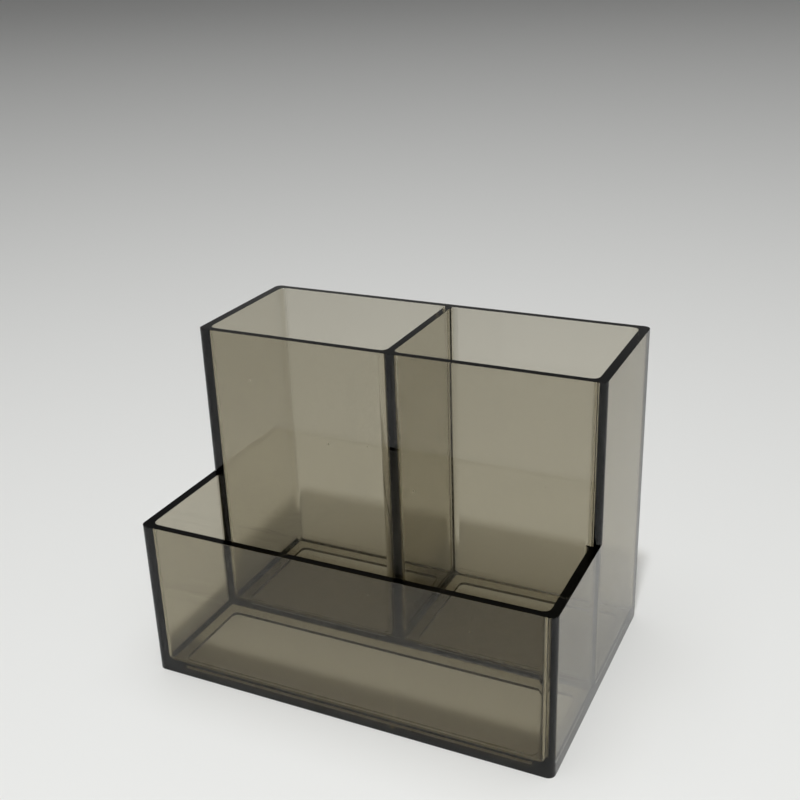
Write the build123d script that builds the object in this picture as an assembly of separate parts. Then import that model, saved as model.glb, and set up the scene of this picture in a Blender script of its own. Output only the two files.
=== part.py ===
from build123d import *
import os

# A stepped desk holder of smoke-grey acrylic sheet: a low open tray across the front,
# and two tall open compartments behind it. Flat panels are cemented edge to face.
# X is the width, -Y is the front and Z is up. The origin is the centre of the footprint.

# Driving dimensions, in millimetres.
WIDTH = 135.0              # outside, left to right
TRAY_DEPTH = 40.0          # front face of the tray to the front face of the compartments
COMPARTMENT_DEPTH = 50.5   # front face of the compartments to the back face
TALL_HEIGHT = 104.5        # rim of the compartments above the table
TRAY_HEIGHT = 53.0         # rim of the tray above the table
SIDE_WALL = 3.0            # sheet of the two side panels
CROSS_WALL = 2.5           # thinner sheet of the three walls across the width
DIVIDER_WALL = 2.5         # sheet between the two compartments
FLOOR_SHEET = 3.0          # sheet of the three floors, which lie flush with the walls' lower edges
CORNER_RADIUS = 2.3        # outer upright corners
COVE = 2.0                 # cement bead along every inner corner, measured along the wall
BEAD_TOE = 0.1             # thickness that is left at the edge of a bead
FOOT_RIM = 4.0             # width of the flat rim that each floor stands on
HOLLOW = 1.0               # depth of the hollow inside that rim
HOLLOW_CORNER = 2.0        # rounding of the hollow's upright corners

# Worked out from them: the planes on which the panels meet.
HALF_WIDTH = WIDTH / 2
INNER_X = HALF_WIDTH - SIDE_WALL
DIVIDER_X = DIVIDER_WALL / 2
BACK_Y = (TRAY_DEPTH + COMPARTMENT_DEPTH) / 2
FRONT_Y = -BACK_Y
TRAY_INNER_Y = FRONT_Y + CROSS_WALL
MIDDLE_FRONT_Y = FRONT_Y + TRAY_DEPTH
MIDDLE_BACK_Y = MIDDLE_FRONT_Y + CROSS_WALL
BACK_INNER_Y = BACK_Y - CROSS_WALL
COVE_TOP = FLOOR_SHEET + COVE


def block(x, y, z):
    """A box between the given pairs of x, y and z."""
    middle = Pos((x[0] + x[1]) / 2, (y[0] + y[1]) / 2, (z[0] + z[1]) / 2)
    return middle * Box(x[1] - x[0], y[1] - y[0], z[1] - z[0])


def upright_bead(x, y, toward_x, toward_y, top):
    """A hollow-faced bead that fills the inner corner at (x, y), from the floor's cove to top."""
    fill = Pos(x + toward_x * COVE / 2, y + toward_y * COVE / 2) * Rectangle(COVE, COVE)
    hollow = Pos(x + toward_x * COVE, y + toward_y * COVE) * Circle(COVE - BEAD_TOE)
    return Pos(0, 0, COVE_TOP) * extrude(fill - hollow, amount=top - COVE_TOP)


def rounded_plate(y, height):
    """The right-hand wall between two y planes, with its outer upright edges rounded."""
    plate = block((INNER_X, HALF_WIDTH), y, (0, height))
    outer_edges = plate.edges().filter_by(Axis.Z).group_by(Axis.X)[-1]
    return fillet(outer_edges, CORNER_RADIUS)


def side_panel():
    """The right-hand side wall: one sheet, stepped down beside the tray."""
    beside_tray = rounded_plate((FRONT_Y, BACK_Y), TRAY_HEIGHT)
    beside_compartments = rounded_plate((MIDDLE_FRONT_Y, BACK_Y), TALL_HEIGHT)
    return beside_tray + beside_compartments


def cross_panel(front, back, height):
    """A wall across the width, between the two side panels."""
    return block((-INNER_X, INNER_X), (front, back), (0, height))


def tray_front_panel():
    """The low front wall of the tray, with a bead at each end."""
    panel = cross_panel(FRONT_Y, TRAY_INNER_Y, TRAY_HEIGHT)
    for side in (-1, 1):
        panel += upright_bead(side * INNER_X, TRAY_INNER_Y, -side, 1, TRAY_HEIGHT)
    return panel


def compartment_front_panel():
    """The tall wall between the tray and the compartments, with beads at its ends on both faces."""
    panel = cross_panel(MIDDLE_FRONT_Y, MIDDLE_BACK_Y, TALL_HEIGHT)
    for side in (-1, 1):
        panel += upright_bead(side * INNER_X, MIDDLE_FRONT_Y, -side, -1, TRAY_HEIGHT)
        panel += upright_bead(side * INNER_X, MIDDLE_BACK_Y, -side, 1, TALL_HEIGHT)
    return panel


def back_panel():
    """The tall back wall, with a bead at each end."""
    panel = cross_panel(BACK_INNER_Y, BACK_Y, TALL_HEIGHT)
    for side in (-1, 1):
        panel += upright_bead(side * INNER_X, BACK_INNER_Y, -side, -1, TALL_HEIGHT)
    return panel


def compartment_divider():
    """The wall between the two compartments, with beads on both its faces at both ends."""
    panel = block((-DIVIDER_X, DIVIDER_X), (MIDDLE_BACK_Y, BACK_INNER_Y), (0, TALL_HEIGHT))
    for side in (-1, 1):
        panel += upright_bead(side * DIVIDER_X, MIDDLE_BACK_Y, side, 1, TALL_HEIGHT)
        panel += upright_bead(side * DIVIDER_X, BACK_INNER_Y, side, -1, TALL_HEIGHT)
    return panel


def floor_panel(x, y):
    """A floor that fills the given x and y, with a cove up all four walls and a foot rim below."""
    sheet = block(x, y, (0, COVE_TOP))
    inset_x = (x[0] + BEAD_TOE, x[1] - BEAD_TOE)
    inset_y = (y[0] + BEAD_TOE, y[1] - BEAD_TOE)
    space = block(inset_x, inset_y, (FLOOR_SHEET, COVE_TOP + COVE))
    rounded_edges = space.edges().filter_by(Axis.Z) + space.faces().sort_by(Axis.Z)[0].edges()
    hollow_x = (x[0] + FOOT_RIM, x[1] - FOOT_RIM)
    hollow_y = (y[0] + FOOT_RIM, y[1] - FOOT_RIM)
    hollow = block(hollow_x, hollow_y, (0, HOLLOW))
    hollow = fillet(hollow.edges().filter_by(Axis.Z), HOLLOW_CORNER)
    return sheet - fillet(rounded_edges, COVE - BEAD_TOE) - hollow


def all_panels():
    """Every panel under its own name."""
    right_side = side_panel()
    compartment_y = (MIDDLE_BACK_Y, BACK_INNER_Y)
    return {
        "left_side_panel": mirror(right_side, about=Plane.YZ),
        "right_side_panel": right_side,
        "back_panel": back_panel(),
        "compartment_front_panel": compartment_front_panel(),
        "compartment_divider": compartment_divider(),
        "tray_front_panel": tray_front_panel(),
        "tray_floor": floor_panel((-INNER_X, INNER_X), (TRAY_INNER_Y, MIDDLE_FRONT_Y)),
        "left_compartment_floor": floor_panel((-INNER_X, -DIVIDER_X), compartment_y),
        "right_compartment_floor": floor_panel((DIVIDER_X, INNER_X), compartment_y),
    }


os.makedirs("parts", exist_ok=True)
for name, panel in all_panels().items():
    export_step(panel, os.path.join("parts", name + ".step"))
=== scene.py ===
"""A stepped brush holder of smoke-grey acrylic sheet.

A low open tray runs across the front, and two tall open compartments stand behind it. Every
panel is a piece of its own, laid over the panel that the frame holds, with polished rims and
hollow beads of cement in the inner corners. Each floor stands on a rim around a low hollow.
"""

from math import cos, pi, radians, sin

import bmesh
import bpy
from mathutils import Matrix, Vector


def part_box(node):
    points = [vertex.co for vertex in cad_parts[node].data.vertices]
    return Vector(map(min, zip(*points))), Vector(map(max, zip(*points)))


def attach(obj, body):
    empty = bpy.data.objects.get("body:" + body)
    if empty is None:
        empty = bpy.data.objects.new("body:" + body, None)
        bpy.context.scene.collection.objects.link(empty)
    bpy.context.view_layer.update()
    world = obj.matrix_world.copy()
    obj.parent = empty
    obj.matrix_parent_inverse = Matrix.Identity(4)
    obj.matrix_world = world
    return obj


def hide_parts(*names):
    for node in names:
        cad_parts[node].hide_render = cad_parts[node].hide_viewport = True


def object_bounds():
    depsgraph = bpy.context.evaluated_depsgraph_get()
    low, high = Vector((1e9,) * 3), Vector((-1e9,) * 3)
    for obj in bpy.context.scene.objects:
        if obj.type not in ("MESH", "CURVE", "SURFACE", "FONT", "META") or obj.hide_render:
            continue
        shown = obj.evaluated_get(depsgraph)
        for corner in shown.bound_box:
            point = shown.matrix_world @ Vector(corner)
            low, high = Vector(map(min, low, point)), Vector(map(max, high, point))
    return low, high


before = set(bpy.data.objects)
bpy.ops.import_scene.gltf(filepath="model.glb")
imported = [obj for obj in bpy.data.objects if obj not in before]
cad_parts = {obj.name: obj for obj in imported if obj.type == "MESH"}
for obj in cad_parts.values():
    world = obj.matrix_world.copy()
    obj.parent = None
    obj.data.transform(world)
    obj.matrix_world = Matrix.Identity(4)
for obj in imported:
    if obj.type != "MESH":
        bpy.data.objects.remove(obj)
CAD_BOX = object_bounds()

bl_info = {
    "name": "Acrylic Brush Holder",
    "version": (1, 0, 0),
    "blender": (4, 5, 0),
    "location": "View3D > Sidebar > Holder",
    "description": "Builds a stepped brush holder of smoke-grey acrylic sheet, panel by panel",
    "category": "Add Mesh",
}

BODY = "root"
JOINT_MASK = "cemented"

# Limits of the mesh work. Lengths are in metres.
SAME_POINT = 1e-7               # points closer than this are one point
SAME_HEIGHT = 1e-6              # an edge this near to a rim's height lies on it
SQUARE_ON = 0.999               # part of a normal along an axis, for a face square to it
SHARP_SHADING = radians(35)     # edges sharper than this stay crisp when shaded
SHARP_RIM = radians(60)         # edges sharper than this are polished round
SHORTEST_RIM = 0.1              # shorter edges stay, as a share of the corner radius
POLISH_STEPS = 3

# The planes on which the panels meet, read from the frame: the floors fill the clear spaces.
OUTER_LOW, OUTER_HIGH = CAD_BOX
TRAY_LOW, TRAY_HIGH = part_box("tray_floor")
LEFT_LOW, LEFT_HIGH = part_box("left_compartment_floor")
HALF_WIDTH = OUTER_HIGH.x
INNER_X = TRAY_HIGH.x
DIVIDER_X = -LEFT_HIGH.x
FRONT_Y = OUTER_LOW.y
TRAY_INNER_Y = TRAY_LOW.y
MIDDLE_FRONT_Y = TRAY_HIGH.y
MIDDLE_BACK_Y = LEFT_LOW.y
BACK_INNER_Y = LEFT_HIGH.y
BACK_Y = OUTER_HIGH.y
FLOOR_UNDERSIDE = TRAY_LOW.z
COVE_TOP = TRAY_HIGH.z
TRAY_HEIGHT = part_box("tray_front_panel")[1].z
TALL_HEIGHT = OUTER_HIGH.z


class HolderSizes(bpy.types.PropertyGroup):
    """Small sizes of the sheet work that the frame's boxes don't give"""

    corner_radius: bpy.props.FloatProperty(
        name="Corner radius", description="Rounding of the outer upright edges",
        default=0.0023, min=0.0, unit="LENGTH")
    cove: bpy.props.FloatProperty(
        name="Cove", description="Reach of the cement bead along both walls of an inner corner",
        default=0.002, min=0.0005, unit="LENGTH")
    bead_toe: bpy.props.FloatProperty(
        name="Bead toe", description="Thickness that is left at the edge of a bead",
        default=0.0001, min=0.0, unit="LENGTH")
    floor_sheet: bpy.props.FloatProperty(
        name="Floor sheet", description="Thickness of the three floors",
        default=0.003, min=0.001, unit="LENGTH")
    foot_rim: bpy.props.FloatProperty(
        name="Foot rim", description="Width of the flat rim that each floor stands on",
        default=0.004, min=0.001, unit="LENGTH")
    hollow: bpy.props.FloatProperty(
        name="Hollow", description="Depth of the hollow inside the foot rim",
        default=0.001, min=0.0001, unit="LENGTH")
    hollow_corner: bpy.props.FloatProperty(
        name="Hollow corner", description="Rounding of the hollow's upright corners",
        default=0.002, min=0.0001, unit="LENGTH")
    rim_polish: bpy.props.FloatProperty(
        name="Rim polish", description="Rounding that polishing leaves along the free edges",
        default=0.00025, min=0.0, unit="LENGTH")
    seam_lap: bpy.props.FloatProperty(
        name="Seam lap",
        description="How far a panel enters its neighbour, so that light passes the joint",
        default=0.00003, min=0.0, unit="LENGTH")
    arc_steps: bpy.props.IntProperty(
        name="Arc steps", description="Faces around each quarter round",
        default=10, min=3, max=32)


class AcrylicFinish(bpy.types.PropertyGroup):
    """Tint and wear of the smoke acrylic"""

    tint: bpy.props.FloatVectorProperty(
        name="Tint", description="Colour that the sheet lets through best",
        subtype="COLOR", size=3, min=0.0, max=1.0, default=(0.5, 0.452, 0.297))
    density: bpy.props.FloatProperty(
        name="Density", description="Strength of the tint for each metre of acrylic",
        default=340.0, min=0.0)
    ior: bpy.props.FloatProperty(
        name="IOR", description="Refractive index of cast acrylic", default=1.49, min=1.0)
    glare: bpy.props.FloatProperty(
        name="Glare",
        description="Share of the mirror reflection that is left when seen square on",
        default=0.7, min=0.0, max=1.0, subtype="FACTOR")
    wall_dust: bpy.props.FloatProperty(
        name="Dust on walls", description="Share of the walls under specks of dust",
        default=0.1, min=0.0, max=1.0, subtype="FACTOR")
    floor_dust: bpy.props.FloatProperty(
        name="Dust on floors", description="Share of the floors under specks of dust",
        default=0.5, min=0.0, max=1.0, subtype="FACTOR")
    wall_scratches: bpy.props.FloatProperty(
        name="Scratches on walls", description="Strength of the fine scratches on the walls",
        default=0.3, min=0.0, max=1.0, subtype="FACTOR")
    floor_scratches: bpy.props.FloatProperty(
        name="Scratches on floors", description="Strength of the fine scratches on the floors",
        default=1.0, min=0.0, max=1.0, subtype="FACTOR")


class StudioSettings(bpy.types.PropertyGroup):
    """The table, the lamps and the camera"""

    table_colour: bpy.props.FloatVectorProperty(
        name="Table colour", description="Colour of the pale table",
        subtype="COLOR", size=3, min=0.0, max=1.0, default=(0.8, 0.805, 0.79))
    contact_gap: bpy.props.FloatProperty(
        name="Contact gap",
        description="Air that is left between the holder's lower edges and the table",
        default=0.00005, min=0.0, unit="LENGTH")
    horizon_colour: bpy.props.FloatVectorProperty(
        name="Horizon", description="Pale colour of the surroundings at the height of the eye",
        subtype="COLOR", size=3, min=0.0, max=1.0, default=(0.50, 0.50, 0.49))
    ceiling_colour: bpy.props.FloatVectorProperty(
        name="Ceiling", description="Darker colour of the surroundings overhead",
        subtype="COLOR", size=3, min=0.0, max=1.0, default=(0.10, 0.10, 0.10))
    key_power: bpy.props.FloatProperty(
        name="Key lamp", description="Power of the lamp above, in front and to the right",
        default=8.2, min=0.0, unit="POWER")
    fill_power: bpy.props.FloatProperty(
        name="Fill lamp", description="Power of the wide lamp overhead",
        default=36.0, min=0.0, unit="POWER")
    azimuth: bpy.props.FloatProperty(
        name="Azimuth", description="Camera's angle to the right of the front",
        default=radians(26.16), subtype="ANGLE")
    elevation: bpy.props.FloatProperty(
        name="Elevation", description="Camera's angle above the table",
        default=radians(22.73), subtype="ANGLE")
    roll: bpy.props.FloatProperty(
        name="Roll", description="Camera's turn about its own line of sight",
        default=radians(-2.06), subtype="ANGLE")
    distance: bpy.props.FloatProperty(
        name="Distance", description="From the camera to the point it looks at",
        default=0.3598, min=0.05, unit="LENGTH")
    aim: bpy.props.FloatVectorProperty(
        name="Aim", description="Point that the camera looks at",
        subtype="TRANSLATION", size=3, unit="LENGTH", default=(-0.0041, 0.0120, 0.0822))
    lens: bpy.props.FloatProperty(
        name="Lens", description="Focal length on a 36 mm sensor, in millimetres",
        default=50.67, min=10.0)


# ---------------------------------------------------------------- outlines and meshes


def arc(centre, radius, start, end, steps):
    """Points of an arc in the XY plane from one angle to another, both in radians."""
    turn = (end - start) / steps
    angles = [start + turn * i for i in range(steps + 1)]
    return [(centre[0] + radius * cos(a), centre[1] + radius * sin(a)) for a in angles]


def level(outline, z):
    """The points of an XY outline at one height."""
    return [(x, y, z) for x, y in outline]


def walls(outline, low, high):
    """Upright faces between two heights along an open XY line."""
    pairs = zip(outline, outline[1:])
    return [[(*a, low), (*b, low), (*b, high), (*a, high)] for a, b in pairs]


def panel_object(name, faces, material, sizes, rims=()):
    """Joins the faces into one closed panel, polishes its rims and lets it ride on the body."""
    shell = bmesh.new()
    for points in faces:
        shell.faces.new([shell.verts.new(p) for p in points])
    bmesh.ops.remove_doubles(shell, verts=shell.verts, dist=SAME_POINT)
    bmesh.ops.recalc_face_normals(shell, faces=shell.faces)
    joints = joint_areas(sizes)
    divide_at_joints(shell, joints, sizes.seam_lap)
    polish_rims(shell, sizes, rims, joints)
    cemented = shell.faces.layers.float.new(JOINT_MASK)
    for face in shell.faces:
        face[cemented] = float(is_cemented(face, joints, sizes.seam_lap))
    open_edges = [e for e in shell.edges if not e.is_manifold]
    if open_edges:
        raise RuntimeError(f"{name} has {len(open_edges)} open edges")
    mesh = bpy.data.meshes.new(name)
    shell.to_mesh(mesh)
    shell.free()
    mesh.shade_smooth()
    mesh.set_sharp_from_angle(angle=SHARP_SHADING)
    mesh.materials.append(material)
    panel = bpy.data.objects.new(name, mesh)
    bpy.context.scene.collection.objects.link(panel)
    even = panel.modifiers.new("Even shine", "WEIGHTED_NORMAL")
    even.keep_sharp = True
    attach(panel, BODY)
    return panel


def joint_areas(sizes):
    """The areas in which panels are cemented together, as (axis, place, low, high).

    The area lies square to the axis at that place; low and high are its corners along the
    other two axes, in order.
    """
    cove = sizes.cove
    brim = (FLOOR_UNDERSIDE, COVE_TOP)
    areas = []

    def area(axis, place, first, second):
        areas.append((axis, place, (first[0], second[0]), (first[1], second[1])))

    for side in (-1, 1):
        inner, divider = side * INNER_X, side * DIVIDER_X
        # Against the side panel: the ends of the three cross walls, their beads and the floors.
        area(0, inner, (FRONT_Y, TRAY_INNER_Y), (0, TRAY_HEIGHT))
        area(0, inner, (TRAY_INNER_Y, TRAY_INNER_Y + cove), (COVE_TOP, TRAY_HEIGHT))
        area(0, inner, (MIDDLE_FRONT_Y - cove, MIDDLE_FRONT_Y), (COVE_TOP, TRAY_HEIGHT))
        area(0, inner, (MIDDLE_FRONT_Y, MIDDLE_BACK_Y), (0, TALL_HEIGHT))
        area(0, inner, (MIDDLE_BACK_Y, MIDDLE_BACK_Y + cove), (COVE_TOP, TALL_HEIGHT))
        area(0, inner, (BACK_INNER_Y - cove, BACK_INNER_Y), (COVE_TOP, TALL_HEIGHT))
        area(0, inner, (BACK_INNER_Y, BACK_Y), (0, TALL_HEIGHT))
        area(0, inner, (TRAY_INNER_Y, MIDDLE_FRONT_Y), brim)
        area(0, inner, (MIDDLE_BACK_Y, BACK_INNER_Y), brim)
        area(0, divider, (MIDDLE_BACK_Y, BACK_INNER_Y), brim)
        # Against the walls of a compartment: its floor and the divider's beads.
        for y in (MIDDLE_BACK_Y, BACK_INNER_Y):
            area(1, y, sorted((divider, inner)), brim)
            area(1, y, sorted((divider, divider + side * cove)), (COVE_TOP, TALL_HEIGHT))
        # Under the feet of the beads, in the corners of the floors.
        at_side = sorted((inner, inner - side * cove))
        at_divider = sorted((divider, divider + side * cove))
        for y, inward in ((TRAY_INNER_Y, 1), (MIDDLE_FRONT_Y, -1),
                          (MIDDLE_BACK_Y, 1), (BACK_INNER_Y, -1)):
            area(2, COVE_TOP, at_side, sorted((y, y + inward * cove)))
        for y, inward in ((MIDDLE_BACK_Y, 1), (BACK_INNER_Y, -1)):
            area(2, COVE_TOP, at_divider, sorted((y, y + inward * cove)))
    for y in (TRAY_INNER_Y, MIDDLE_FRONT_Y):
        area(1, y, (-INNER_X, INNER_X), brim)
    for y in (MIDDLE_BACK_Y, BACK_INNER_Y):
        area(1, y, (-DIVIDER_X, DIVIDER_X), (0, TALL_HEIGHT))
    return areas


def lies_at(face, axis, place, lap):
    """True if a flat face is square to the axis, within the lap of a joint there."""
    reach = 1.5 * lap
    return (abs(face.normal[axis]) > SQUARE_ON
            and all(abs(v.co[axis] - place) < reach for v in face.verts))


def divide_at_joints(shell, joints, lap):
    """Cuts the faces that a joint covers in part along the joint's borders."""
    clear = 2 * lap
    for axis, place, *corners in joints:
        others = [other for other in range(3) if other != axis]
        for corner in corners:
            for other, border in zip(others, corner):
                faces = []
                for face in shell.faces:
                    reach = [v.co[other] - border for v in face.verts]
                    crosses = min(reach) < -clear and max(reach) > clear
                    if crosses and lies_at(face, axis, place, lap):
                        faces.append(face)
                if not faces:
                    continue
                edges = {edge for face in faces for edge in face.edges}
                corner_points = {vert for face in faces for vert in face.verts}
                across = Vector((0, 0, 0))
                across[other] = 1
                bmesh.ops.bisect_plane(shell, geom=[*faces, *edges, *corner_points],
                                       dist=SAME_POINT, plane_co=across * border,
                                       plane_no=across)


def is_cemented(face, joints, lap):
    """True if the face lies in a joint, where cement has made the panels one."""
    middle = face.calc_center_bounds()
    for axis, place, low, high in joints:
        spot = [middle[other] for other in range(3) if other != axis]
        if (all(a - lap <= m <= b + lap for a, m, b in zip(low, spot, high))
                and lies_at(face, axis, place, lap)):
            return True
    return False


def polish_rims(shell, sizes, rims, joints):
    """Rounds the long free edges that lie at the given heights."""
    if sizes.rim_polish <= 0 or not rims:
        return
    shortest = SHORTEST_RIM * sizes.corner_radius

    def is_rim(edge):
        heights = [v.co.z for v in edge.verts]
        at_rim = any(all(abs(z - rim) < SAME_HEIGHT for z in heights) for rim in rims)
        return (at_rim and edge.is_manifold and edge.calc_length() > shortest
                and edge.calc_face_angle_signed() > SHARP_RIM
                and not any(is_cemented(f, joints, sizes.seam_lap) for f in edge.link_faces))

    edges = [e for e in shell.edges if is_rim(e)]
    bmesh.ops.bevel(shell, geom=edges, offset=sizes.rim_polish, offset_type="OFFSET",
                    segments=POLISH_STEPS, profile=0.5, affect="EDGES", clamp_overlap=True)


# ---------------------------------------------------------------- panels


def side_panel_faces(sizes, side):
    """One L-shaped side sheet: side is 1 for the right-hand one and -1 for the left."""
    radius, steps = sizes.corner_radius, sizes.arc_steps
    round_x = HALF_WIDTH - radius
    front_round = arc((round_x, FRONT_Y + radius), radius, -pi / 2, 0, steps)
    riser_round = arc((round_x, MIDDLE_FRONT_Y + radius), radius, -pi / 2, 0, steps)
    back_round = arc((round_x, BACK_Y - radius), radius, 0, pi / 2, steps)
    front_corner = (INNER_X, FRONT_Y)
    riser_corner = (INNER_X, MIDDLE_FRONT_Y)
    back_corner = (INNER_X, BACK_Y)

    def upright(x, front, riser, back):
        """The L-shaped face at x, given the y of its three upright edges."""
        return [(x, front, 0), (x, back, 0), (x, back, TALL_HEIGHT),
                (x, riser, TALL_HEIGHT), (x, riser, TRAY_HEIGHT), (x, front, TRAY_HEIGHT)]

    faces = [
        level([front_corner, *front_round, *back_round, back_corner], 0),
        level([riser_corner, *riser_round, *back_round, back_corner], TALL_HEIGHT),
        level([front_corner, *front_round, *reversed(riser_round), riser_corner], TRAY_HEIGHT),
        upright(INNER_X, FRONT_Y, MIDDLE_FRONT_Y, BACK_Y),
        upright(HALF_WIDTH, FRONT_Y + radius, MIDDLE_FRONT_Y + radius, BACK_Y - radius),
    ]
    faces += walls([front_corner, *front_round], 0, TRAY_HEIGHT)
    faces += walls([riser_corner, *riser_round], TRAY_HEIGHT, TALL_HEIGHT)
    faces += walls([*back_round, back_corner], 0, TALL_HEIGHT)
    return [[(side * x, y, z) for x, y, z in face] for face in faces]


def bead_outline(sizes, wall_x, wall_y, away):
    """A bead's outline in the corner that a wall at wall_y makes with the panel at wall_x.

    The wall lies along X, and the bead on the side that away points to, with wall_x to its right.
    """
    cove, toe, lap = sizes.cove, sizes.bead_toe, sizes.seam_lap
    centre = (wall_x - cove, wall_y + away * cove)
    hollow = arc(centre, cove - toe, -away * pi / 2, 0, sizes.arc_steps)
    start = (wall_x - cove, wall_y)
    end = (wall_x + lap, wall_y + away * cove)
    return [(wall_x + lap, wall_y), start, *hollow, end]


def cross_panel_faces(sizes, front, back, height, end_x, bead_tops):
    """A wall along X from -end_x to end_x, with hollow beads at both ends.

    bead_tops gives the height of the beads on the front (-1) and back (1) face of the wall.
    """
    cove, lap = sizes.cove, sizes.seam_lap
    lap_x, foot = end_x + lap, COVE_TOP - lap
    notch_x = end_x - cove
    faces = []
    end_edges = {-1: [], 1: []}
    rim = {}
    for away, y in ((-1, front), (1, back)):
        top = bead_tops.get(away)
        if top is None:
            half = [(lap_x, 0), (lap_x, height)]
            rim[away] = [(lap_x, y)]
        elif top < height:
            half = [(lap_x, 0), (lap_x, foot), (notch_x, foot), (notch_x, top),
                    (lap_x, top), (lap_x, height)]
            rim[away] = [(lap_x, y)]
        else:
            half = [(lap_x, 0), (lap_x, foot), (notch_x, foot), (notch_x, height)]
            rim[away] = [(lap_x, y), (notch_x, y)]
        mirrored = [(-x, z) for x, z in reversed(half)]
        faces.append([(x, y, z) for x, z in half + mirrored])
        heights = [0, height] if top is None else sorted({0, foot, top, height})
        end_edges[away] = [(y, z) for z in heights]
        if top is not None:
            faces += bead_faces(sizes, end_x, y, away, foot, top)
    end = end_edges[-1] + end_edges[1][::-1]
    right_rim = rim[-1][::-1] + rim[1]
    rim_outline = right_rim + [(-x, y) for x, y in reversed(right_rim)]
    base = [(lap_x, front), (lap_x, back), (-lap_x, back), (-lap_x, front)]
    faces.append(level(rim_outline, height))
    faces.append(level(base, 0))
    for side in (-1, 1):
        faces.append([(side * lap_x, y, z) for y, z in end])
    return faces


def bead_faces(sizes, end_x, y, away, foot, top):
    """The faces of the two beads on one side of a cross wall, but for the one against the wall."""
    faces = []
    right = bead_outline(sizes, end_x, y, away)
    for side in (-1, 1):
        outline = [(side * px, py) for px, py in right]
        faces += [level(outline, foot), level(outline, top)]
        faces += walls(outline[1:] + outline[:1], foot, top)
    return faces


def turned(faces, centre):
    """The same faces after a quarter turn about the upright line through centre."""
    cx, cy = centre
    return [[(cx - y, cy + x, z) for x, y, z in face] for face in faces]


def floor_faces(sizes, low, high):
    """A floor whose top curves up to the four walls, and that stands on a rim around a hollow."""
    lap, toe, steps = sizes.seam_lap, sizes.bead_toe, sizes.arc_steps
    radius = sizes.cove - toe
    top = FLOOR_UNDERSIDE + sizes.floor_sheet

    def ring(inset, bend):
        """The floor's outline, moved inwards by inset and with its corners rounded by bend."""
        corners = [(low.x, low.y, 1, 1, pi), (high.x, low.y, -1, 1, 3 * pi / 2),
                   (high.x, high.y, -1, -1, 0), (low.x, high.y, 1, -1, pi / 2)]
        points = []
        for x, y, in_x, in_y, start in corners:
            centre = (x + in_x * (inset + bend), y + in_y * (inset + bend))
            points += arc(centre, bend, start, start + pi / 2, steps)
        return points

    outer = [(low.x - lap, low.y - lap), (high.x + lap, low.y - lap),
             (high.x + lap, high.y + lap), (low.x - lap, high.y + lap)]
    angles = [pi / 2 * i / steps for i in range(steps + 1)]
    # Each ring is where the cove has turned by one more angle from flat towards upright.
    rings = [level(ring(toe + radius * (1 - sin(a)), radius * sin(a)), top + radius * (1 - cos(a)))
             for a in angles]
    brim = ring(toe, radius)
    rings.append(level(brim, COVE_TOP))
    hollow = ring(sizes.foot_rim, sizes.hollow_corner)
    hollow_top = FLOOR_UNDERSIDE + sizes.hollow
    faces = frame_faces(outer, hollow, FLOOR_UNDERSIDE)
    faces += walls(hollow + hollow[:1], FLOOR_UNDERSIDE, hollow_top)
    faces.append(level(hollow, hollow_top))
    faces += walls(outer + outer[:1], FLOOR_UNDERSIDE, COVE_TOP)
    faces.append(rings[0][::steps + 1])
    for lower, upper in zip(rings, rings[1:]):
        faces += band(lower, upper)
    return faces + frame_faces(outer, brim, COVE_TOP)


def frame_faces(outer, inner, z):
    """Flat faces between a rectangle and an outline inside it with four rounded corners."""
    per_corner = len(inner) // 4
    faces = []
    for i in range(4):
        corner, next_corner = outer[i], outer[(i + 1) % 4]
        bend = inner[i * per_corner:(i + 1) * per_corner]
        next_bend = inner[((i + 1) * per_corner) % len(inner)]
        faces.append(level([corner, *bend], z))
        faces.append(level([corner, bend[-1], next_bend, next_corner], z))
    return faces


def band(lower, upper):
    """Faces between two rings with as many points, without those that have shrunk to nothing."""
    faces = []
    count = len(lower)
    for i in range(count):
        j = (i + 1) % count
        points = []
        for p in (lower[i], lower[j], upper[j], upper[i]):
            if not any((Vector(p) - Vector(q)).length < SAME_POINT for q in points):
                points.append(p)
        if len(points) > 2:
            faces.append(points)
    return faces


# ---------------------------------------------------------------- finishes

# Wear of the surface. Scales count the cells of a pattern along a metre.
POLISHED_ROUGHNESS = 0.004
SPECK_SCALE = 420.0
SPECK_SIZE = 0.16               # radius of the largest grain, as a share of its cell
SPECK_CHANCE = 0.05             # share of the cells that hold a grain at full dust
SPECK_ROUGHNESS = 0.85
HAZE_SCALE = 28.0
HAZE_RANGE = (0.5, 0.75)        # pattern values between which a smudge sets in
HAZE_STRENGTH = 0.035
CLEAN_COLOUR = (1.0, 1.0, 1.0, 1.0)
SMUDGED_COLOUR = (0.93, 0.92, 0.88, 1.0)
SCRATCH_SCALE = 60.0
SCRATCH_STRETCH = (0.6, 0.6, 14.0)
SCRATCH_TURNS = ((0.35, 0.315, 0.4), (-0.6, -0.54, 0.4))
SCRATCH_RANGE = (0.70, 0.74)
SCRATCH_ROUGHNESS = 0.05
SCRATCH_DEPTH = 0.2             # as a share of the height of a speck
RELIEF_STRENGTH = 0.15
RELIEF_HEIGHT = 0.00005         # height of a speck, in metres
LAMPLIGHT_KEPT = (0.95, 0.95, 0.95, 1.0)    # light of the lamps that a surface lets pass
CEMENT_COLOUR = (1.0, 1.0, 1.0, 1.0)        # a cemented joint keeps nothing back

# Sockets of a Mix node that is set to colours.
MIX_SHARE, MIX_FIRST, MIX_SECOND, MIX_RESULT = 0, 6, 7, 2


def new_socket(tree, name, kind, way):
    """Adds a named input or output to a node group."""
    tree.interface.new_socket(name=name, in_out=way, socket_type=kind)


def add_node(tree, kind, **values):
    """A node with its plain settings and, by name, its input values."""
    node = tree.nodes.new(kind)
    for key, value in values.items():
        if key in node.inputs:
            node.inputs[key].default_value = value
        else:
            setattr(node, key, value)
    return node


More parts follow.
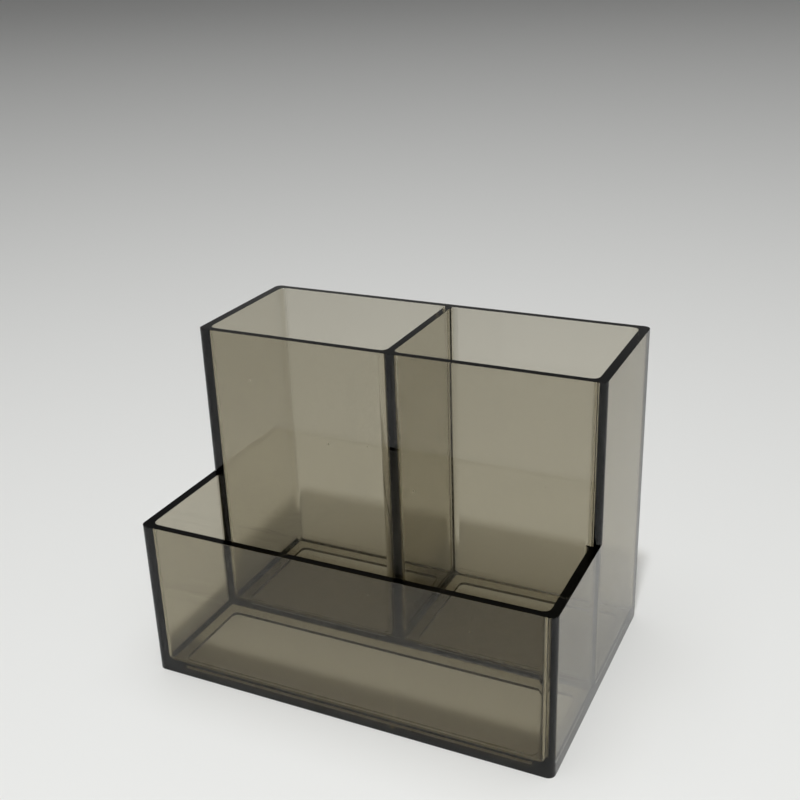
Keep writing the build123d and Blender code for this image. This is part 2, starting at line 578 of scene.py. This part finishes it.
def maths(tree, operation, first, second):
    """A Math node on two sockets or numbers."""
    node = tree.nodes.new("ShaderNodeMath")
    node.operation = operation
    for slot, value in enumerate((first, second)):
        if isinstance(value, bpy.types.NodeSocket):
            tree.links.new(value, node.inputs[slot])
        else:
            node.inputs[slot].default_value = value
    return node.outputs[0]


def stepped(tree, value, low, high, to_low=0.0, to_high=1.0):
    """Maps a socket from one range to another, smoothly at both ends."""
    node = tree.nodes.new("ShaderNodeMapRange")
    node.interpolation_type = "SMOOTHSTEP"
    tree.links.new(value, node.inputs["Value"])
    for name, number in (("From Min", low), ("From Max", high),
                         ("To Min", to_low), ("To Max", to_high)):
        node.inputs[name].default_value = number
    return node.outputs["Result"]


def blended(tree, share, first, second):
    """Mixes two plain colours by a socket that gives the share of the second."""
    node = add_node(tree, "ShaderNodeMix", data_type="RGBA")
    node.inputs[MIX_FIRST].default_value = first
    node.inputs[MIX_SECOND].default_value = second
    tree.links.new(share, node.inputs[MIX_SHARE])
    return node.outputs[MIX_RESULT]


def handled_surface():
    """Node group: polished acrylic after some use, with specks, smudges and fine scratches."""
    name = "Handled acrylic"
    if name in bpy.data.node_groups:
        return bpy.data.node_groups[name]
    tree = bpy.data.node_groups.new(name, "ShaderNodeTree")
    new_socket(tree, "Dust", "NodeSocketFloat", "INPUT")
    new_socket(tree, "Scratches", "NodeSocketFloat", "INPUT")
    new_socket(tree, "Roughness", "NodeSocketFloat", "OUTPUT")
    new_socket(tree, "Tint", "NodeSocketColor", "OUTPUT")
    new_socket(tree, "Height", "NodeSocketFloat", "OUTPUT")
    inputs = tree.nodes.new("NodeGroupInput")
    outputs = tree.nodes.new("NodeGroupOutput")
    place = tree.nodes.new("ShaderNodeTexCoord").outputs["Object"]

    def textured(kind, scale, stretch=(1, 1, 1), turn=(0, 0, 0), **values):
        mapping = tree.nodes.new("ShaderNodeMapping")
        mapping.inputs["Scale"].default_value = stretch
        mapping.inputs["Rotation"].default_value = turn
        tree.links.new(place, mapping.inputs["Vector"])
        texture = add_node(tree, kind, Scale=scale, **values)
        tree.links.new(mapping.outputs["Vector"], texture.inputs["Vector"])
        return texture

    # Specks: a few cells of a fine pattern hold a small round grain each.
    cells = textured("ShaderNodeTexVoronoi", SPECK_SCALE)
    chance = tree.nodes.new("ShaderNodeSeparateColor")
    tree.links.new(cells.outputs["Color"], chance.inputs["Color"])
    grain_size = maths(tree, "MULTIPLY", chance.outputs["Green"], SPECK_SIZE)
    inside = maths(tree, "LESS_THAN", cells.outputs["Distance"], grain_size)
    rare = maths(tree, "MULTIPLY", inputs.outputs["Dust"], SPECK_CHANCE)
    chosen = maths(tree, "LESS_THAN", chance.outputs["Red"], rare)
    specks = maths(tree, "MULTIPLY", inside, chosen)

    # Smudges: broad, faint haze from handling.
    haze = textured("ShaderNodeTexNoise", HAZE_SCALE, Detail=4.0, Roughness=0.6)
    smudge = stepped(tree, haze.outputs["Fac"], *HAZE_RANGE, 0.0, HAZE_STRENGTH)

    # Scratches: thin stretched lines of noise in two directions.
    lines = []
    for turn in SCRATCH_TURNS:
        streak = textured("ShaderNodeTexNoise", SCRATCH_SCALE, SCRATCH_STRETCH, turn, Detail=1.0)
        lines.append(stepped(tree, streak.outputs["Fac"], *SCRATCH_RANGE))
    scratch = maths(tree, "MAXIMUM", *lines)
    scratch = maths(tree, "MULTIPLY", scratch, inputs.outputs["Scratches"])

    # Roughness: polished faces, slightly hazy smudges, matt specks.
    rough = maths(tree, "ADD", smudge, POLISHED_ROUGHNESS)
    rough = maths(tree, "ADD", rough, maths(tree, "MULTIPLY", scratch, SCRATCH_ROUGHNESS))
    rough = maths(tree, "MAXIMUM", rough, maths(tree, "MULTIPLY", specks, SPECK_ROUGHNESS))
    tree.links.new(rough, outputs.inputs["Roughness"])
    tint = blended(tree, smudge, CLEAN_COLOUR, SMUDGED_COLOUR)
    tree.links.new(tint, outputs.inputs["Tint"])
    height = maths(tree, "SUBTRACT", specks, maths(tree, "MULTIPLY", scratch, SCRATCH_DEPTH))
    tree.links.new(height, outputs.inputs["Height"])
    return tree


def smoke_acrylic(name, finish, dust, scratches):
    """Tinted clear acrylic that darkens with the way through it and lets lamps shine through.

    Where the joint mask is set, two panels are one block, so their surfaces there don't show.
    """
    if name in bpy.data.materials:
        return bpy.data.materials[name]
    material = bpy.data.materials.new(name)
    material.use_nodes = True
    tree = material.node_tree
    tree.nodes.clear()
    surface = add_node(tree, "ShaderNodeBsdfPrincipled")
    surface.inputs["IOR"].default_value = finish.ior
    surface.inputs["Transmission Weight"].default_value = 1.0
    surface.inputs["Specular Tint"].default_value = (*[finish.glare] * 3, 1.0)
    worn = tree.nodes.new("ShaderNodeGroup")
    worn.node_tree = handled_surface()
    worn.inputs["Dust"].default_value = dust
    worn.inputs["Scratches"].default_value = scratches
    tree.links.new(worn.outputs["Roughness"], surface.inputs["Roughness"])
    tree.links.new(worn.outputs["Tint"], surface.inputs["Base Color"])
    relief = add_node(tree, "ShaderNodeBump", Strength=RELIEF_STRENGTH, Distance=RELIEF_HEIGHT)
    tree.links.new(worn.outputs["Height"], relief.inputs["Height"])
    tree.links.new(relief.outputs["Normal"], surface.inputs["Normal"])

    clear = add_node(tree, "ShaderNodeBsdfTransparent", Color=LAMPLIGHT_KEPT)
    path = tree.nodes.new("ShaderNodeLightPath")
    passing = maths(tree, "MAXIMUM", path.outputs["Is Shadow Ray"], path.outputs["Is Diffuse Ray"])
    choice = tree.nodes.new("ShaderNodeMixShader")
    tree.links.new(passing, choice.inputs[0])
    tree.links.new(surface.outputs[0], choice.inputs[1])
    tree.links.new(clear.outputs[0], choice.inputs[2])
    joined = add_node(tree, "ShaderNodeAttribute", attribute_name=JOINT_MASK)
    no_gap = add_node(tree, "ShaderNodeBsdfTransparent", Color=CEMENT_COLOUR)
    whole = tree.nodes.new("ShaderNodeMixShader")
    tree.links.new(joined.outputs["Fac"], whole.inputs[0])
    tree.links.new(choice.outputs[0], whole.inputs[1])
    tree.links.new(no_gap.outputs[0], whole.inputs[2])
    body = add_node(tree, "ShaderNodeVolumeAbsorption", Color=(*finish.tint, 1.0),
                    Density=finish.density)
    output = tree.nodes.new("ShaderNodeOutputMaterial")
    tree.links.new(whole.outputs[0], output.inputs["Surface"])
    tree.links.new(body.outputs[0], output.inputs["Volume"])
    return material


def wall_material():
    """Acrylic of the upright panels."""
    finish = bpy.context.scene.holder_finish
    return smoke_acrylic("smoke_acrylic_walls", finish, finish.wall_dust,
                         finish.wall_scratches)


def floor_material():
    """Acrylic of the floors, which gather more dust and scuffs."""
    finish = bpy.context.scene.holder_finish
    return smoke_acrylic("smoke_acrylic_floors", finish, finish.floor_dust,
                         finish.floor_scratches)


# ---------------------------------------------------------------- operators

# The stage. Lengths are in metres.
TABLE_REACH = 8.0               # from the middle of the table to its edges
TABLE_ROUGHNESS = 0.45
SKY_FADE = (0.12, 0.40)         # heights between which the horizon turns into the ceiling
KEY_LAMP = {"size": 0.08, "distance": 1.1, "azimuth": radians(21.5), "elevation": radians(70)}
FILL_LAMP = {"size": 2.5, "distance": 3.0, "azimuth": 0.0, "elevation": radians(90)}
LIGHT_BOUNCES = 24              # enough to pass every panel that can lie in a line
CLEAR_BOUNCES = 64
NEAREST_SEEN = 0.01             # closest distance that the camera shows


class HOLDER_OT_side_panels(bpy.types.Operator):
    """Adds the two L-shaped side panels"""

    bl_idname = "holder.side_panels"
    bl_label = "Side Panels"

    def execute(self, context):
        sizes = context.scene.holder_sizes
        for name, side in (("left_side_panel", -1), ("right_side_panel", 1)):
            faces = side_panel_faces(sizes, side)
            panel = panel_object(f"{name}_acrylic", faces, wall_material(), sizes,
                                 (TRAY_HEIGHT, TALL_HEIGHT))
            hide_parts(name)
        return {"FINISHED"}


class HOLDER_OT_cross_panels(bpy.types.Operator):
    """Adds the three walls that run from side to side"""

    bl_idname = "holder.cross_panels"
    bl_label = "Cross Panels"

    def execute(self, context):
        sizes = context.scene.holder_sizes
        panels = (
            ("tray_front_panel", FRONT_Y, TRAY_INNER_Y, TRAY_HEIGHT, {1: TRAY_HEIGHT}),
            ("compartment_front_panel", MIDDLE_FRONT_Y, MIDDLE_BACK_Y, TALL_HEIGHT,
             {-1: TRAY_HEIGHT, 1: TALL_HEIGHT}),
            ("back_panel", BACK_INNER_Y, BACK_Y, TALL_HEIGHT, {-1: TALL_HEIGHT}),
        )
        for name, front, back, height, bead_tops in panels:
            faces = cross_panel_faces(sizes, front, back, height, INNER_X, bead_tops)
            panel = panel_object(f"{name}_acrylic", faces, wall_material(), sizes, (height,))
            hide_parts(name)
        return {"FINISHED"}


class HOLDER_OT_divider(bpy.types.Operator):
    """Adds the wall between the two tall compartments"""

    bl_idname = "holder.divider"
    bl_label = "Compartment Divider"

    def execute(self, context):
        sizes = context.scene.holder_sizes
        half_length = (BACK_INNER_Y - MIDDLE_BACK_Y) / 2
        middle = (BACK_INNER_Y + MIDDLE_BACK_Y) / 2
        bead_tops = {-1: TALL_HEIGHT, 1: TALL_HEIGHT}
        along_x = cross_panel_faces(sizes, -DIVIDER_X, DIVIDER_X, TALL_HEIGHT, half_length,
                                    bead_tops)
        faces = turned(along_x, (0, middle))
        panel = panel_object("compartment_divider_acrylic", faces, wall_material(), sizes,
                             (TALL_HEIGHT,))
        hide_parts("compartment_divider")
        return {"FINISHED"}


class HOLDER_OT_floors(bpy.types.Operator):
    """Adds the floors of the tray and of the two compartments"""

    bl_idname = "holder.floors"
    bl_label = "Floors"

    def execute(self, context):
        sizes = context.scene.holder_sizes
        for name in ("tray_floor", "left_compartment_floor", "right_compartment_floor"):
            faces = floor_faces(sizes, *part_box(name))
            panel = panel_object(f"{name}_acrylic", faces, floor_material(), sizes)
            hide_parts(name)
        return {"FINISHED"}


class HOLDER_OT_stage(bpy.types.Operator):
    """Adds the pale table, the surroundings and the soft lamps"""

    bl_idname = "holder.stage"
    bl_label = "Table and Lamps"

    def execute(self, context):
        studio = context.scene.holder_studio
        reach, top = TABLE_REACH, -studio.contact_gap
        corners = [(-reach, -reach, top), (reach, -reach, top),
                   (reach, reach, top), (-reach, reach, top)]
        mesh = bpy.data.meshes.new("table")
        mesh.from_pydata(corners, [], [(0, 1, 2, 3)])
        material = bpy.data.materials.new("pale_table")
        material.use_nodes = True
        paint = material.node_tree.nodes["Principled BSDF"]
        paint.inputs["Base Color"].default_value = (*studio.table_colour, 1.0)
        paint.inputs["Roughness"].default_value = TABLE_ROUGHNESS
        mesh.materials.append(material)
        table = bpy.data.objects.new("table", mesh)
        context.scene.collection.objects.link(table)

        context.scene.world = self.surroundings(studio)
        self.lamp("key_lamp", studio.key_power, **KEY_LAMP)
        self.lamp("fill_lamp", studio.fill_power, **FILL_LAMP)
        context.scene.view_settings.view_transform = "Standard"
        context.scene.cycles.max_bounces = LIGHT_BOUNCES
        context.scene.cycles.transmission_bounces = LIGHT_BOUNCES
        context.scene.cycles.transparent_max_bounces = CLEAR_BOUNCES
        return {"FINISHED"}

    def surroundings(self, studio):
        """A world that is pale towards the horizon and darker overhead."""
        world = bpy.data.worlds.new("studio")
        world.use_nodes = True
        tree = world.node_tree
        direction = tree.nodes.new("ShaderNodeTexCoord").outputs["Generated"]
        split = tree.nodes.new("ShaderNodeSeparateXYZ")
        tree.links.new(direction, split.inputs[0])
        height = stepped(tree, split.outputs["Z"], *SKY_FADE)
        sky = blended(tree, height, (*studio.horizon_colour, 1.0), (*studio.ceiling_colour, 1.0))
        tree.links.new(sky, tree.nodes["Background"].inputs["Color"])
        return world

    def lamp(self, name, power, size, distance, azimuth, elevation):
        """A square area lamp that shines at the holder's middle."""
        light = bpy.data.lights.new(name, "AREA")
        light.energy = power
        light.size = size
        lamp = bpy.data.objects.new(name, light)
        lamp.matrix_world = orbit(Vector((0, 0, TALL_HEIGHT / 2)), distance, azimuth, elevation)
        bpy.context.scene.collection.objects.link(lamp)


def orbit(aim, distance, azimuth, elevation, roll=0.0):
    """Where something stands that looks at aim, from azimuth to the right of the front."""
    back = Vector((sin(azimuth) * cos(elevation), -cos(azimuth) * cos(elevation), sin(elevation)))
    turn = (-back).to_track_quat("-Z", "Y").to_matrix().to_4x4()
    return Matrix.Translation(aim + back * distance) @ turn @ Matrix.Rotation(roll, 4, "Z")


class HOLDER_OT_camera(bpy.types.Operator):
    """Adds the camera, above the front right corner"""

    bl_idname = "holder.camera"
    bl_label = "Camera"

    def execute(self, context):
        studio = context.scene.holder_studio
        data = bpy.data.cameras.new("camera")
        data.lens = studio.lens
        data.clip_start = NEAREST_SEEN
        camera = bpy.data.objects.new("camera", data)
        camera.matrix_world = orbit(Vector(studio.aim), studio.distance, studio.azimuth,
                                    studio.elevation, studio.roll)
        context.scene.collection.objects.link(camera)
        context.scene.camera = camera
        return {"FINISHED"}


class HOLDER_PT_sidebar(bpy.types.Panel):
    """Lists the pieces of the holder and their settings"""

    bl_idname = "HOLDER_PT_sidebar"
    bl_label = "Acrylic Brush Holder"
    bl_space_type = "VIEW_3D"
    bl_region_type = "UI"
    bl_category = "Holder"

    def draw(self, context):
        for operator in BUILD_ORDER:
            self.layout.operator(operator.bl_idname)
        for group in ("holder_sizes", "holder_finish", "holder_studio"):
            settings = getattr(context.scene, group)
            box = self.layout.box()
            for name in settings.__annotations__:
                box.prop(settings, name)


SETTINGS = {
    "holder_sizes": HolderSizes,
    "holder_finish": AcrylicFinish,
    "holder_studio": StudioSettings,
}
BUILD_ORDER = (HOLDER_OT_side_panels, HOLDER_OT_cross_panels, HOLDER_OT_divider,
               HOLDER_OT_floors, HOLDER_OT_stage, HOLDER_OT_camera)


def register():
    for kind in (*SETTINGS.values(), *BUILD_ORDER, HOLDER_PT_sidebar):
        bpy.utils.register_class(kind)
    for name, kind in SETTINGS.items():
        setattr(bpy.types.Scene, name, bpy.props.PointerProperty(type=kind))


def unregister():
    for name in SETTINGS:
        delattr(bpy.types.Scene, name)
    for kind in reversed((*SETTINGS.values(), *BUILD_ORDER, HOLDER_PT_sidebar)):
        bpy.utils.unregister_class(kind)


def main():
    register()
    bpy.ops.holder.side_panels()
    bpy.ops.holder.cross_panels()
    bpy.ops.holder.divider()
    bpy.ops.holder.floors()
    bpy.ops.holder.stage()
    bpy.ops.holder.camera()


if __name__ == "__main__":
    main()
